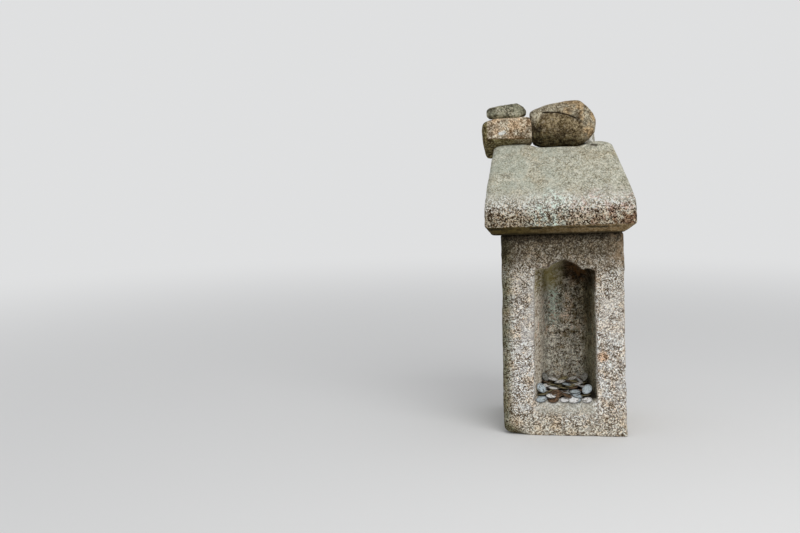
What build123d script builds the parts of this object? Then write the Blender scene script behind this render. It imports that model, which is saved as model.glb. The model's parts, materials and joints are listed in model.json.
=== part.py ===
from build123d import *
import math
import os

# A small wayside shrine cut from granite.
# One upright block stands on the ground with a niche hollowed from its front, under a cusped arch.
# A second block lies on it as a hipped roof, with heavy eaves that are undercut all round.
# Loose field stones are laid along the flat ridge, and offered coins lie like tiles on the niche's floor.
# Everything is in millimetres, X to the right, Y to the back, Z up.
# The origin is in the ground plane, under the middle of the body block's foot.

os.makedirs("parts", exist_ok=True)

# Body block
BODY_HEIGHT = 422.0
FOOT_WIDTH = 254.0
FOOT_DEPTH = 240.0
HEAD_WIDTH = 247.0
HEAD_DEPTH = 235.0
HEAD_SHIFT = -9.5
ARRIS_FRONT_LEFT = 15.0
ARRIS_FRONT_RIGHT = 8.0
ARRIS_BACK_RIGHT = 12.0
ARRIS_BACK_LEFT = 13.0
FOOT_ROUND = 4.0
HEAD_ROUND = 5.0
WORN_CORNER_WIDTH = 32.0
WORN_CORNER_HEIGHT = 17.0

# Niche in the body block
NICHE_WIDTH = 123.0
NICHE_SHIFT = -3.5
NICHE_DEPTH = 140.0
NICHE_BACK_WIDTH = 88.0
NICHE_BACK_SHIFT = 4.5
SILL_HEIGHT = 69.0
LIP_DEPTH = 22.0
LIP_SLOPE = 20.0
FLOOR_SLOPE = 8.0
SHOULDER_HEIGHT = 348.5
ARCH_RISE = 22.0
CUSP_HALF_SPAN = 37.0
SHOULDER_BULGE = 3.0
SOFFIT_FALL = 16.0
COVE_DEPTH = 34.0
COVE_FALL = 52.0
COVE_INSET = 9.0
MOUTH_WEAR = 3.0
MOUTH_WEAR_DEPTH = 4.0

# Roof block
BED_TILT = 1.4
ROOF_SHIFT = -12.5
ROOF_HEIGHT = 184.0
EAVE_WIDTH = 304.0
EAVE_DEPTH = 300.0
EAVE_HEIGHT = 70.0
UNDERCUT_FRONT = 25.0
UNDERCUT_LEFT = 14.0
UNDERCUT_RIGHT = 25.0
UNDERCUT_HEIGHT = 19.0
RIDGE_DEPTH = 80.0
HIP_RUN_LEFT = 20.0
HIP_RUN_RIGHT = 42.0
EAVE_CORNER_ROUND = 17.0
HIP_ROUND = 14.0
SHOULDER_ROUND = 14.0
RIDGE_ROUND = 7.0
UNDERCUT_ROUND = 3.0
SADDLE_SAG = 8.0
SADDLE_SHIFT = 2.0

# Stones on the ridge: width, depth and height, place along the ridge, and how far the foot is below the ridge
BOULDER = (136.0, 94.0, 99.0)
BOULDER_PLACE = 8.0
BOULDER_SEAT = 9.5
BLOCK_STONE = (107.0, 88.0, 89.0)
BLOCK_STONE_PLACE = -109.0
BLOCK_STONE_HANG = 31.0
FLAT_STONE = (85.0, 66.0, 31.0)
FLAT_STONE_SHIFT = -2.5
FLAT_STONE_SEAT = 5.5
WEDGE_STONE = (38.0, 36.0, 24.0)
WEDGE_STONE_PLACE = 55.5
WEDGE_STONE_SEAT = 1.5
STONES_FORWARD = 7.0

# Coins: diameter and thickness of each kind
WHITE = (20.0, 1.5)
BRASS = (22.0, 1.5)
BRONZE = (23.5, 1.5)
NICKEL = (22.6, 1.7)
COIN_EDGE = 0.25
COIN_GAP = 0.1
JAMB_CLEARANCE = 1.0
FRONT_COURSE = 10.5
SECOND_COURSE = 27.0
LAST_COURSE_CLEARANCE = 29.0
COURSE_RISE = 3.7
COURSE_ROLL = 8.0
LEANING_LIFT = 0.8
# Kinds in each course, front to back and left to right
COURSES = (
    (NICKEL, BRONZE, WHITE, NICKEL, WHITE),
    (BRASS, WHITE, BRASS, WHITE, BRASS),
    (WHITE, BRASS, WHITE, BRASS, WHITE),
    (BRONZE, WHITE, NICKEL, BRONZE),
    (WHITE, BRASS, WHITE, BRONZE),
    (BRASS, NICKEL, WHITE, BRASS),
    (WHITE, BRASS, BRASS, WHITE),
)
# Coins that lean on a jamb: kind, side, place counted in courses, turn from the jamb, steepness
LEANING_COINS = {
    "coin_leaning_left": (NICKEL, -1, 2.36, 42.0, 52.0),
    "coin_leaning_right": (NICKEL, 1, 2.18, 38.0, 50.0),
    "coin_leaning_back_left": (WHITE, -1, 6.22, 55.0, 62.0),
    "coin_leaning_back_right": (WHITE, 1, 6.36, 50.0, 58.0),
}
# Coins dropped on the courses: kind, coin whose front rim bears it, tilt and roll on that coin
LOOSE_COINS = {
    "coin_loose_left": (WHITE, "coin_5_1", 11.0, 2.0),
    "coin_loose_middle": (BRONZE, "coin_3_2", 11.0, 3.0),
    "coin_loose_right": (NICKEL, "coin_3_4", 10.0, 3.0),
    "coin_loose_back": (BRASS, "coin_5_3", 11.0, 2.0),
}

FRONT = -FOOT_DEPTH / 2
NICHE_BACK = FRONT + NICHE_DEPTH

# Coins share the floor between the second course and the back wall, each course lying this far up the slope
COURSES_RUN = (NICHE_DEPTH - LIP_DEPTH - LAST_COURSE_CLEARANCE) / math.cos(math.radians(FLOOR_SLOPE))
COURSE_PITCH = (COURSES_RUN - (SECOND_COURSE - LIP_DEPTH)) / (len(COURSES) - 2)
# Their tilt lifts each coin clear of the one before it
COURSE_TILT = math.degrees(math.asin(COURSE_RISE / COURSE_PITCH))
# A leaning coin's foot is above the raised rims of the courses
LEANING_BED = BRONZE[0] * COURSE_RISE / COURSE_PITCH + LEANING_LIFT


def tilted_plane(origin, turn_x=0.0, turn_y=0.0):
    """A level plane through a point, turned about its own X axis and then its own Y axis."""
    return Plane(Location(origin, (turn_x, turn_y, 0)))


# The bed between the two blocks falls a little to the left
BED = tilted_plane((0, 0, BODY_HEIGHT), turn_y=-BED_TILT)
# The niche's floor rises to the back so that rain runs out, and falls faster over the worn lip of the sill
LIP = tilted_plane((0, FRONT, SILL_HEIGHT), turn_x=LIP_SLOPE)
CREST_HEIGHT = SILL_HEIGHT + LIP_DEPTH * math.tan(math.radians(LIP_SLOPE))
FLOOR = tilted_plane((0, FRONT + LIP_DEPTH, CREST_HEIGHT), turn_x=FLOOR_SLOPE)


def floor_height(y):
    """Height of the niche's floor at one depth."""
    behind = y - FRONT - LIP_DEPTH
    slope = FLOOR_SLOPE if behind > 0 else LIP_SLOPE
    return CREST_HEIGHT + behind * math.tan(math.radians(slope))


def niche_centre(y):
    """Middle of the niche at one depth."""
    return NICHE_SHIFT + (NICHE_BACK_SHIFT - NICHE_SHIFT) * (y - FRONT) / NICHE_DEPTH


def niche_half_width(y):
    """Half the niche's width at one depth, in front of the cove."""
    return (NICHE_WIDTH + (NICHE_BACK_WIDTH - NICHE_WIDTH) * (y - FRONT) / NICHE_DEPTH) / 2


def block_section(width, depth):
    """Plan of the body block: a rectangle with each arris worn to its own radius."""
    half_w, half_d = width / 2, depth / 2
    arrises = [
        ((-half_w, -half_d), ARRIS_FRONT_LEFT),
        ((half_w, -half_d), ARRIS_FRONT_RIGHT),
        ((half_w, half_d), ARRIS_BACK_RIGHT),
        ((-half_w, half_d), ARRIS_BACK_LEFT),
    ]
    sketch = Sketch() + Rectangle(width, depth)
    for (x, y), radius in arrises:
        corner = sketch.vertices().sort_by_distance(Vector(x, y, 0))[0]
        sketch = fillet(corner, radius)
    return sketch


def worn_corner():
    """Waste outside the elliptical round that wear has given the block's lower left edge."""
    waste = Pos(-FOOT_WIDTH / 2, 0, 0) * Box(
        2 * WORN_CORNER_WIDTH, 2 * FOOT_DEPTH, 2 * WORN_CORNER_HEIGHT
    )
    ellipse = Plane.XZ * Pos(-FOOT_WIDTH / 2 + WORN_CORNER_WIDTH, WORN_CORNER_HEIGHT) * Ellipse(
        WORN_CORNER_WIDTH, WORN_CORNER_HEIGHT
    )
    return waste - extrude(ellipse, FOOT_DEPTH, both=True)


def niche_outline(y, inset=0.0, fall=0.0, flatness=1.0, sink=0.0):
    """Outline of the niche at one depth: sill, two jambs, two shoulders, two flanks of the cusped arch."""
    centre, half = niche_centre(y), niche_half_width(y) - inset
    floor = floor_height(y) - sink
    shoulder = SHOULDER_HEIGHT - SOFFIT_FALL * (y - FRONT) / NICHE_DEPTH - fall
    rise, bulge = ARCH_RISE * flatness, SHOULDER_BULGE * flatness
    cusp = CUSP_HALF_SPAN * half / (NICHE_WIDTH / 2)
    lobe = (half + cusp) / 2
    left_foot, right_foot = (centre - half, floor), (centre + half, floor)
    left_spring, right_spring = (centre - half, shoulder), (centre + half, shoulder)
    left_cusp, right_cusp = (centre - cusp, shoulder), (centre + cusp, shoulder)
    apex = (centre, shoulder + rise)
    edges = [
        Line(left_foot, right_foot),
        Line(right_foot, right_spring),
        ThreePointArc(right_spring, (centre + lobe, shoulder + bulge), right_cusp),
        ThreePointArc(right_cusp, (centre + cusp / 2, shoulder + 0.62 * rise), apex),
        ThreePointArc(apex, (centre - cusp / 2, shoulder + 0.62 * rise), left_cusp),
        ThreePointArc(left_cusp, (centre - lobe, shoulder + bulge), left_spring),
        Line(left_spring, left_foot),
    ]
    return Plane.XZ.offset(-y) * make_face(Curve() + edges)


def niche_void():
    """The hollow of the niche: a flared mouth, a chamber that narrows inward, and a coved back wall."""
    outlines = [
        niche_outline(FRONT - MOUTH_WEAR_DEPTH, -2 * MOUTH_WEAR, -2 * MOUTH_WEAR, sink=MOUTH_WEAR),
        niche_outline(FRONT + MOUTH_WEAR_DEPTH),
        niche_outline(FRONT + LIP_DEPTH, flatness=0.95),
        niche_outline(NICHE_BACK - COVE_DEPTH, flatness=0.75),
        niche_outline(NICHE_BACK - 0.3 * COVE_DEPTH, 0.4 * COVE_INSET, 0.4 * COVE_FALL, 0.45),
        niche_outline(NICHE_BACK, COVE_INSET, COVE_FALL, 0.2),
    ]
    return loft(outlines, ruled=True)


def body_block():
    """The upright block with its niche."""
    foot = block_section(FOOT_WIDTH, FOOT_DEPTH)
    head = BED * Pos(HEAD_SHIFT, 0, 0) * block_section(HEAD_WIDTH, HEAD_DEPTH)
    block = loft([foot, head])
    block = fillet(block.faces().sort_by(Axis.Z)[-1].edges(), HEAD_ROUND)
    block = fillet(block.faces().sort_by(Axis.Z)[0].edges(), FOOT_ROUND)
    return block - worn_corner() - niche_void()


def roof_elevation(half, undercut_near, undercut_far, top_near, top_far, ridge):
    """Outline of the roof from one side: narrow bed, undercut, upright eave, slope and ridge."""
    under = Polyline(
        (top_near, ROOF_HEIGHT),
        (-half, EAVE_HEIGHT),
        (-half, UNDERCUT_HEIGHT),
        (undercut_near - half, 0),
        (half - undercut_far, 0),
        (half, UNDERCUT_HEIGHT),
        (half, EAVE_HEIGHT),
        (top_far, ROOF_HEIGHT),
    )
    return make_face([*under.edges(), ridge])


def edges_between(block, low, high, outside=0.0):
    """Edges of a block whose middle lies between two heights and further out than a given depth."""
    return [
        edge
        for edge in block.edges()
        if low < edge.center().Z < high and abs(edge.center().Y) >= outside
    ]


def roof_block():
    """The hipped roof: what its front and side elevations share, each carried right through. Its ridge is worn."""
    half_w, half_d, half_r = EAVE_WIDTH / 2, EAVE_DEPTH / 2, RIDGE_DEPTH / 2
    left, right = HIP_RUN_LEFT - half_w, half_w - HIP_RUN_RIGHT
    low = ((left + right) / 2 + SADDLE_SHIFT, ROOF_HEIGHT - SADDLE_SAG)
    worn = Spline((left, ROOF_HEIGHT), low, (right, ROOF_HEIGHT), tangents=[(1, 0), (1, 0)])
    level = Line((-half_r, ROOF_HEIGHT), (half_r, ROOF_HEIGHT))
    front = roof_elevation(half_w, UNDERCUT_LEFT, UNDERCUT_RIGHT, left, right, worn)
    side = roof_elevation(half_d, UNDERCUT_FRONT, UNDERCUT_FRONT, -half_r, half_r, level)
    block = extrude(Plane.XZ * front, EAVE_DEPTH, both=True)
    block &= extrude(Plane.YZ * side, EAVE_WIDTH, both=True)
    block = fillet(block.edges().filter_by(Axis.Z), EAVE_CORNER_ROUND)
    hips = edges_between(block, EAVE_HEIGHT + 5, ROOF_HEIGHT - 5, half_r + 5)
    block = fillet(hips, HIP_ROUND)
    block = fillet(edges_between(block, EAVE_HEIGHT - 6, EAVE_HEIGHT + 6), SHOULDER_ROUND)
    block = fillet(edges_between(block, ROOF_HEIGHT - SADDLE_SAG - 1, ROOF_HEIGHT + 1), RIDGE_ROUND)
    block = fillet(edges_between(block, UNDERCUT_HEIGHT - 2, UNDERCUT_HEIGHT + 2), UNDERCUT_ROUND)
    return BED * Pos(ROOF_SHIFT, 0, 0) * block


def field_stone(size, middle, front, side, plan):
    """A broken stone: what its three outlines share, each carried right through.
    Outlines are shares of half the stone's size, so that they run from -1 to 1."""
    width, depth, height = size
    stone = None
    for plane, outline, across, up, through in (
        (Plane.XZ, front, width, height, depth),
        (Plane.YZ, side, depth, height, width),
        (Plane.XY, plan, width, depth, height),
    ):
        points = [(x * across / 2, y * up / 2) for x, y in outline]
        prism = extrude(plane * make_face(Polyline(*points, close=True)), through, both=True)
        stone = prism if stone is None else stone & prism
    return Pos(*middle) * stone


def over_ridge(size, place, foot_below):
    """Middle of a stone that lies on the ridge at one place along it, its foot that far below the ridge."""
    up = ROOF_HEIGHT + size[2] / 2 - foot_below
    return BED.from_local_coords(Vector(ROOF_SHIFT + place, -STONES_FORWARD, up))


def boulder():
    """The large stone: a broad slope up its front, a flat foot, and flanks that draw in below."""
    front = [(-1, 0.42), (-0.96, -0.05), (-0.9, -0.72), (-0.5, -1), (0.4, -1), (0.95, -0.36), (1, 0.06),
             (0.74, 0.62), (0.45, 0.95), (0.2, 1), (-0.72, 0.75)]
    side = [(-0.5, -1), (0.7, -1), (1, 0), (0.8, 0.7), (0.2, 1), (-0.3, 1), (-0.97, 0.38), (-1, 0), (-0.85, -0.6)]
    plan = [(-1, -0.5), (-0.75, -0.95), (0.35, -1), (0.85, -0.6), (1, 0.2), (0.6, 0.9), (-0.3, 1), (-0.95, 0.6)]
    return field_stone(BOULDER, over_ridge(BOULDER, BOULDER_PLACE, BOULDER_SEAT), front, side, plan)


def block_stone_middle():
    """Middle of the squarish stone, from which the flat stone on it takes its place."""
    return over_ridge(BLOCK_STONE, BLOCK_STONE_PLACE, BLOCK_STONE_HANG)


def block_stone():
    """The squarish stone at the ridge's left end, with a lobe that hangs over the roof's corner."""
    front = [(-1, 0.46), (-0.98, -0.03), (-0.91, -0.55), (-0.72, -0.97), (-0.53, -1), (0.9, -0.36), (1, -0.12),
             (0.97, 0.88), (0.85, 1), (-0.07, 0.98), (-0.57, 0.9), (-0.87, 0.75)]
    side = [(-0.45, -1), (0.6, -1), (0.9, -0.6), (1, 0.5), (0.7, 1), (-0.8, 1), (-0.96, 0.8), (-1, -0.02),
            (-0.82, -0.14)]
    plan = [(-1, -0.4), (-0.82, -0.95), (0.88, -1), (1, -0.7), (0.95, 0.7), (0.6, 1), (-0.7, 0.9), (-1, 0.5)]
    return field_stone(BLOCK_STONE, block_stone_middle(), front, side, plan)


def flat_stone():
    """The thin stone laid on the squarish one."""
    front = [(-1, 0.15), (-0.95, -0.65), (-0.71, -1), (0.6, -0.9), (0.97, -0.4), (1, 0.25), (0.78, 0.85), (0.38, 1),
             (-0.29, 0.66), (-0.86, 0.52)]
    side = [(-0.8, -1), (0.8, -1), (1, -0.2), (0.9, 0.6), (0.3, 1), (-0.5, 0.95), (-0.95, 0.4), (-1, -0.4)]
    plan = [(-1, -0.3), (-0.7, -0.9), (0.2, -1), (0.85, -0.7), (1, 0.2), (0.6, 0.95), (-0.5, 1), (-0.95, 0.4)]
    rise = (BLOCK_STONE[2] + FLAT_STONE[2]) / 2 - FLAT_STONE_SEAT
    middle = block_stone_middle() + Vector(FLAT_STONE_SHIFT, 0, rise)
    return field_stone(FLAT_STONE, middle, front, side, plan)


def wedge_stone():
    """The small stone that steadies the boulder's right end."""
    front = [(-1, -1), (0.9, -1), (1, -0.2), (0.95, 0.6), (0.4, 0.95), (-0.4, 0.5)]
    side = [(-0.9, -1), (0.9, -1), (1, 0.2), (0.4, 1), (-0.6, 0.9), (-1, 0.1)]
    plan = [(-1, -0.4), (-0.5, -1), (0.6, -1), (1, -0.2), (0.7, 0.9), (-0.6, 1)]
    middle = over_ridge(WEDGE_STONE, WEDGE_STONE_PLACE, WEDGE_STONE_SEAT)
    return field_stone(WEDGE_STONE, middle, front, side, plan)


def coin(kind):
    """A plain struck disc lying on the XY plane, its two edges broken."""
    diameter, thickness = kind
    disc = extrude(Circle(diameter / 2), thickness)
    return chamfer(disc.edges(), COIN_EDGE)


def course_places(kinds, y):
    """Positions across the niche for one course: the outer coins almost touch the jambs."""
    room = niche_half_width(y + BRONZE[0] / 2) - JAMB_CLEARANCE
    left = niche_centre(y) - room + kinds[0][0] / 2
    right = niche_centre(y) + room - kinds[-1][0] / 2
    used = sum(diameter for diameter, _ in kinds) - kinds[0][0] / 2 - kinds[-1][0] / 2
    gap = (right - left - used) / (len(kinds) - 1)
    places, x = [], left
    for kind, following in zip(kinds, kinds[1:] + (kinds[-1],)):
        places.append(x)
        x += (kind[0] + following[0]) / 2 + gap
    return places


def course_origin(number):
    """Plane of the floor under a course, the course's place up that plane, and its depth in the niche."""
    if number == 1:
        return LIP, FRONT_COURSE, FRONT + FRONT_COURSE * math.cos(math.radians(LIP_SLOPE))
    away = SECOND_COURSE - LIP_DEPTH + (number - 2) * COURSE_PITCH
    return FLOOR, away, FRONT + LIP_DEPTH + away * math.cos(math.radians(FLOOR_SLOPE))


def course_coins():
    """Place of the underside of each coin in the courses, with its kind, by the coin's name.
    Its right flank lies over the coin beside it and its front rim over the course before it.
    On the lip it has none before it and stays level from front to back."""
    coins = {}
    for number, kinds in enumerate(COURSES, 1):
        floor, away, y = course_origin(number)
        tilt = 0.0 if number == 1 else COURSE_TILT
        level = math.cos(math.radians(tilt)) * math.cos(math.radians(COURSE_ROLL))
        for place, (x, kind) in enumerate(zip(course_places(kinds, y), kinds), 1):
            lift = kind[0] / 2 * math.sqrt(1 - level**2) + COIN_GAP
            laid = floor * Location((x, away, lift), (-tilt, -COURSE_ROLL, 0))
            coins[f"coin_{number}_{place}"] = (laid, kind)
    return coins


def loose_coin(kind, bearer, tilt, roll):
    """A coin that lies across the raised front rim of another, given by its place and kind, and faces the mouth."""
    laid, (diameter, thickness) = bearer
    rim = laid * Pos(0, -diameter / 2, thickness + 4 * COIN_GAP)
    return rim * Rot(tilt, roll, 0) * coin(kind)


def leaning_coin(kind, side, number, turn, steepness):
    """A coin that stands on the courses and leans its rim on a jamb."""
    radius, thickness = kind[0] / 2, kind[1]
    y = course_origin(number)[2]
    turn, steep = math.radians(turn), math.radians(steepness)
    normal = Vector(-side * math.sin(steep) * math.sin(turn), -math.sin(steep) * math.cos(turn), math.cos(steep))
    to_jamb = (Vector(side, 0, 0) - normal * (side * normal.X)).normalized()
    to_floor = (Vector(0, 0, -1) + normal * normal.Z).normalized()
    reach = radius * abs(to_jamb.X) + thickness / 2 * abs(normal.X) + 3 * COIN_GAP
    rim_y, foot_y = y + radius * to_jamb.Y, y + radius * to_floor.Y
    x = niche_centre(rim_y) + side * (niche_half_width(rim_y) - reach)
    z = floor_height(foot_y) + LEANING_BED - radius * to_floor.Z + thickness / 2 * normal.Z
    plane = Plane(origin=(x, y, z), z_dir=normal)
    return plane * Pos(0, 0, -thickness / 2) * coin(kind)


body = body_block()
roof = roof_block()
block = block_stone() - roof
lump = boulder() - roof - block
flat = flat_stone() - block
wedge = wedge_stone() - roof - lump

parts = {
    "body_block": body,
    "roof_block": roof,
    "block_stone": block,
    "boulder": lump,
    "flat_stone": flat,
    "wedge_stone": wedge,
}
courses = course_coins()
for name, (place, kind) in courses.items():
    parts[name] = place * coin(kind)
for name, measures in LEANING_COINS.items():
    parts[name] = leaning_coin(*measures)
for name, (kind, bearer, tilt, roll) in LOOSE_COINS.items():
    parts[name] = loose_coin(kind, courses[bearer], tilt, roll)

for name, solid in parts.items():
    export_step(solid, f"parts/{name}.step")
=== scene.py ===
import json
import math

import bpy
import numpy as np
from mathutils import Matrix


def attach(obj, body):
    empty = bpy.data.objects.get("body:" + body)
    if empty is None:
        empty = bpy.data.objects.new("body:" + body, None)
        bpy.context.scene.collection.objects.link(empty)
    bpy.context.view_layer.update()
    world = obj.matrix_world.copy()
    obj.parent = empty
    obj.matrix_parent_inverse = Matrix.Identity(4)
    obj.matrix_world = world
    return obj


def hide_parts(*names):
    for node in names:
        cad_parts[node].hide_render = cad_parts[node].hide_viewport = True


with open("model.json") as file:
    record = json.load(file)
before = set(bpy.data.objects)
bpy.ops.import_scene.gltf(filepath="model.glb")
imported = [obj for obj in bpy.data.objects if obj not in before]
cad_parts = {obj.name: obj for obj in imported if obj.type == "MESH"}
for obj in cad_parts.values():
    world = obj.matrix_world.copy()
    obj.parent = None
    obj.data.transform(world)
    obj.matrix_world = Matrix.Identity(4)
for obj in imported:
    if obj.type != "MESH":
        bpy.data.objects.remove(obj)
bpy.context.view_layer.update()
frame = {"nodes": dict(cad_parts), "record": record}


# Body block
# One upright block of coarse granite, 254 mm wide and 422 mm high, dressed by point and chisel.
# A niche 140 mm deep is hollowed from its front under a cusped arch. It stands by its own weight.

# Shapes are worked out in millimetres, and meshes and finishes hold metres
millimetre = 0.001


def unit(vectors):
    """These vectors, each one long. One that has no length stays as it is."""
    shortest = 1e-9
    return vectors / np.maximum(np.linalg.norm(vectors, axis=-1, keepdims=True), shortest)


def lattice_noise(points, cell, seed):
    """Smooth noise from -1 to 1: random numbers on a cubic lattice of cells, blended by smooth steps.
    The lattice repeats, and its count starts far below every point."""
    repeat, count_start = 32, -1000.0
    table = np.random.RandomState(seed).uniform(-1, 1, (repeat, repeat, repeat))
    place = points / cell - count_start
    base = np.floor(place).astype(int)
    part = place - base
    part = part * part * (3 - 2 * part)
    total = np.zeros(len(points))
    for corner in range(8):
        step = np.array([corner & 1, corner >> 1 & 1, corner >> 2 & 1])
        weight = np.prod(np.where(step, part, 1 - part), axis=1)
        index = (base + step) % repeat
        total += weight * table[index[:, 0], index[:, 1], index[:, 2]]
    return total


def weathering(points, layers, seed):
    """Sum of noise layers, each with its own cell and height in millimetres."""
    return sum(height * lattice_noise(points, cell, seed + number)
               for number, (cell, height) in enumerate(layers))


def loops_mesh(name, loops, relief=None):
    """A closed skin over a stack of loops of equal length, whose first and last loops are points.
    The relief is a function of points and normals that gives the points in their worn places."""
    grid = np.array(loops, dtype=float)
    rows, around = grid.shape[:2]
    along_step = np.gradient(grid, axis=0)
    around_step = np.roll(grid, -1, axis=1) - np.roll(grid, 1, axis=1)
    normals = np.cross(around_step, along_step)
    normals[1:-1] = unit(normals[1:-1])
    normals[0], normals[-1] = normals[1].mean(axis=0), normals[-2].mean(axis=0)
    normals = unit(normals)
    if relief is not None:
        grid = relief(grid.reshape(-1, 3), normals.reshape(-1, 3)).reshape(grid.shape)
        grid[0], grid[-1] = grid[0].mean(axis=0), grid[-1].mean(axis=0)
    points = np.vstack([grid[:1, 0], grid[1:-1].reshape(-1, 3), grid[-1:, 0]]) * millimetre
    row, column = np.meshgrid(np.arange(rows - 3), np.arange(around), indexing="ij")
    following = (column + 1) % around
    near, far = 1 + row * around, 1 + (row + 1) * around
    corners = [near + column, near + following, far + following, far + column]
    quads = np.stack(corners, axis=-1).reshape(-1, 4)
    ring = np.arange(around)
    next_ring = (ring + 1) % around
    last = 1 + (rows - 3) * around
    first_cap = np.stack([np.zeros_like(ring), 1 + next_ring, 1 + ring], axis=-1)
    last_cap = np.stack([np.full_like(ring, len(points) - 1), last + ring, last + next_ring], axis=-1)
    mesh = bpy.data.meshes.new(name)
    mesh.from_pydata(points.tolist(), [], quads.tolist() + first_cap.tolist() + last_cap.tolist())
    mesh.polygons.foreach_set("use_smooth", [True] * len(mesh.polygons))
    mesh.update()
    piece = bpy.data.objects.new(name, mesh)
    bpy.context.collection.objects.link(piece)
    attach(piece, "root")
    return piece


def rounded_outline(knots, reach, bulge, corner_counts, edge_counts):
    """A closed outline through knots. Corners are parabolas that start and end at their reach from the knot,
    and the sides between them bow outward by their bulge."""
    knots = np.array(knots, dtype=float)
    ahead = unit(np.roll(knots, -1, axis=0) - knots)
    behind = np.roll(ahead, 1, axis=0)
    pieces = []
    for number, knot in enumerate(knots):
        before, after = reach[number]
        start, end = knot - behind[number] * before, knot + ahead[number] * after
        t = np.linspace(0, 1, corner_counts[number])[:, None]
        pieces.append((1 - t) ** 2 * start + 2 * t * (1 - t) * knot + t * t * end)
        following = (number + 1) % len(knots)
        goal = knots[following] - ahead[number] * reach[following][0]
        t = np.linspace(0, 1, edge_counts[number] + 2)[1:-1, None]
        outward = np.array([ahead[number][1], -ahead[number][0]])
        pieces.append(end + (goal - end) * t + outward * (4 * t * (1 - t) * bulge[number]))
    return np.vstack(pieces)


def outline_inward(outline):
    """Unit normals of a closed outline that runs anticlockwise, pointing inward."""
    along = unit(np.roll(outline, -1, axis=0) - np.roll(outline, 1, axis=0))
    return np.stack([-along[:, 1], along[:, 0]], axis=1)


def ease(value, low, high):
    """Smooth step from 0 at low to 1 at high."""
    t = np.clip((value - low) / (high - low), 0, 1)
    return t * t * (3 - 2 * t)


def shares(count):
    """Shares of a way in equal steps, from the end of the first step to the whole."""
    return np.linspace(0, 1, count + 1)[1:]


body_height, half_depth, face_draw = 422.0, 120.0, 2.5
foot_half, head_left, head_right = 127.0, -133.0, 114.0
body_front = -half_depth
bed_tilt = math.radians(1.4)
niche_depth, niche_width, niche_taper, niche_shift, niche_drift = 140.0, 123.0, 35.0, -3.5, 8.0
crest_height, lip_depth = 77.0, 22.0
lip_slope, floor_slope = math.radians(20.0), math.radians(8.0)
shoulder_height, soffit_fall, arch_rise, cusp_share = 348.5, 16.0, 23.5, 0.6
cove_depth, cove_fall, cove_inset, cove_lift = 44.0, 52.0, 9.0, 5.0
mouth_depth, mouth_wear, mouth_flare = 4.0, 3.5, 7.0
# Both outlines have seven knots, anticlockwise from the lower left corner. The niche's are two feet,
# a shoulder, a cusp, the apex, a cusp and a shoulder. Points are counted per corner and per side after it.
corner_counts = (9, 7, 6, 4, 5, 4, 6)
edge_counts = (58, 98, 14, 24, 24, 14, 98)


def block_perimeter():
    """Outline of the block in the front view: it leans left, and its lower left corner is worn away."""
    knots = [(-foot_half, 0), (foot_half, 0)]
    for x in (head_right, 60, -5, -72, head_left):
        knots.append((x, body_height + x * math.tan(bed_tilt)))
    worn_corner, foot_corner, head_corner = (17, 33), (5, 5), (6, 6)
    reach = [worn_corner, foot_corner] + [head_corner] * 5
    return rounded_outline(knots, reach, [0] * 7, corner_counts, edge_counts)


def niche_outline(y):
    """Outline of the niche at one depth. It narrows and its floor rises to the back, where its head comes
    down in a cove, along a quarter of an ellipse."""
    share = (y - body_front) / niche_depth
    cove = np.clip((y - (body_front + niche_depth - cove_depth)) / cove_depth, 0, 1)
    cove = 1 - math.sqrt(1 - cove ** 2)
    centre = niche_shift + niche_drift * share
    half = (niche_width - niche_taper * share) / 2 - cove_inset * cove
    behind = y - body_front - lip_depth
    floor = crest_height + behind * math.tan(floor_slope if behind > 0 else lip_slope) + cove_lift * cove
    shoulder = shoulder_height - soffit_fall * share - cove_fall * cove
    rise = arch_rise * (1 - 0.35 * share) * (1 - 0.75 * cove)
    cusp = cusp_share * half
    flare = mouth_flare * (1 - share)
    left, right = centre - half, centre + half
    knots = [(left, floor), (right + flare, floor), (right + 0.25 * flare, shoulder),
             (centre + cusp, shoulder), (centre, shoulder + rise), (centre - cusp, shoulder),
             (left, shoulder)]
    reach = [(6, 6), (6, 6), (7, 6), (3, 3), (8, 8), (3, 3), (6, 7)]
    lobe, flank = 2.6 * (1 - cove), 0.09 * rise
    return rounded_outline(knots, reach, [0, 0, lobe, flank, flank, lobe, 0], corner_counts, edge_counts)


def face_depth(z, side):
    """Depth of the block's front or back face, side -1 or 1, which draws in a little towards the head."""
    return side * (half_depth - face_draw * z / body_height)


def body_rounds(rim):
    """Radii of the front and back edges along the rim: small where level, larger on the upright arrises, and
    largest where the lower left corner is worn."""
    x, z = rim.T
    upright = ease(z, 4, 32) * (1 - ease(z, body_height - 28, body_height - 4))
    left = ease(-x, 60, 110)
    level_round, left_more, right_more, back_more, corner_more, low_more = 4.0, 13.0, 4.5, 8.5, 12.0, 2.0
    worn = corner_more * (1 - upright) * ease(-z, -40, -20) + low_more * ease(-z, -80, -30)
    front_round = level_round + upright * (left * left_more + (1 - left) * right_more) + left * worn
    return front_round, level_round + upright * back_more


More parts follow.
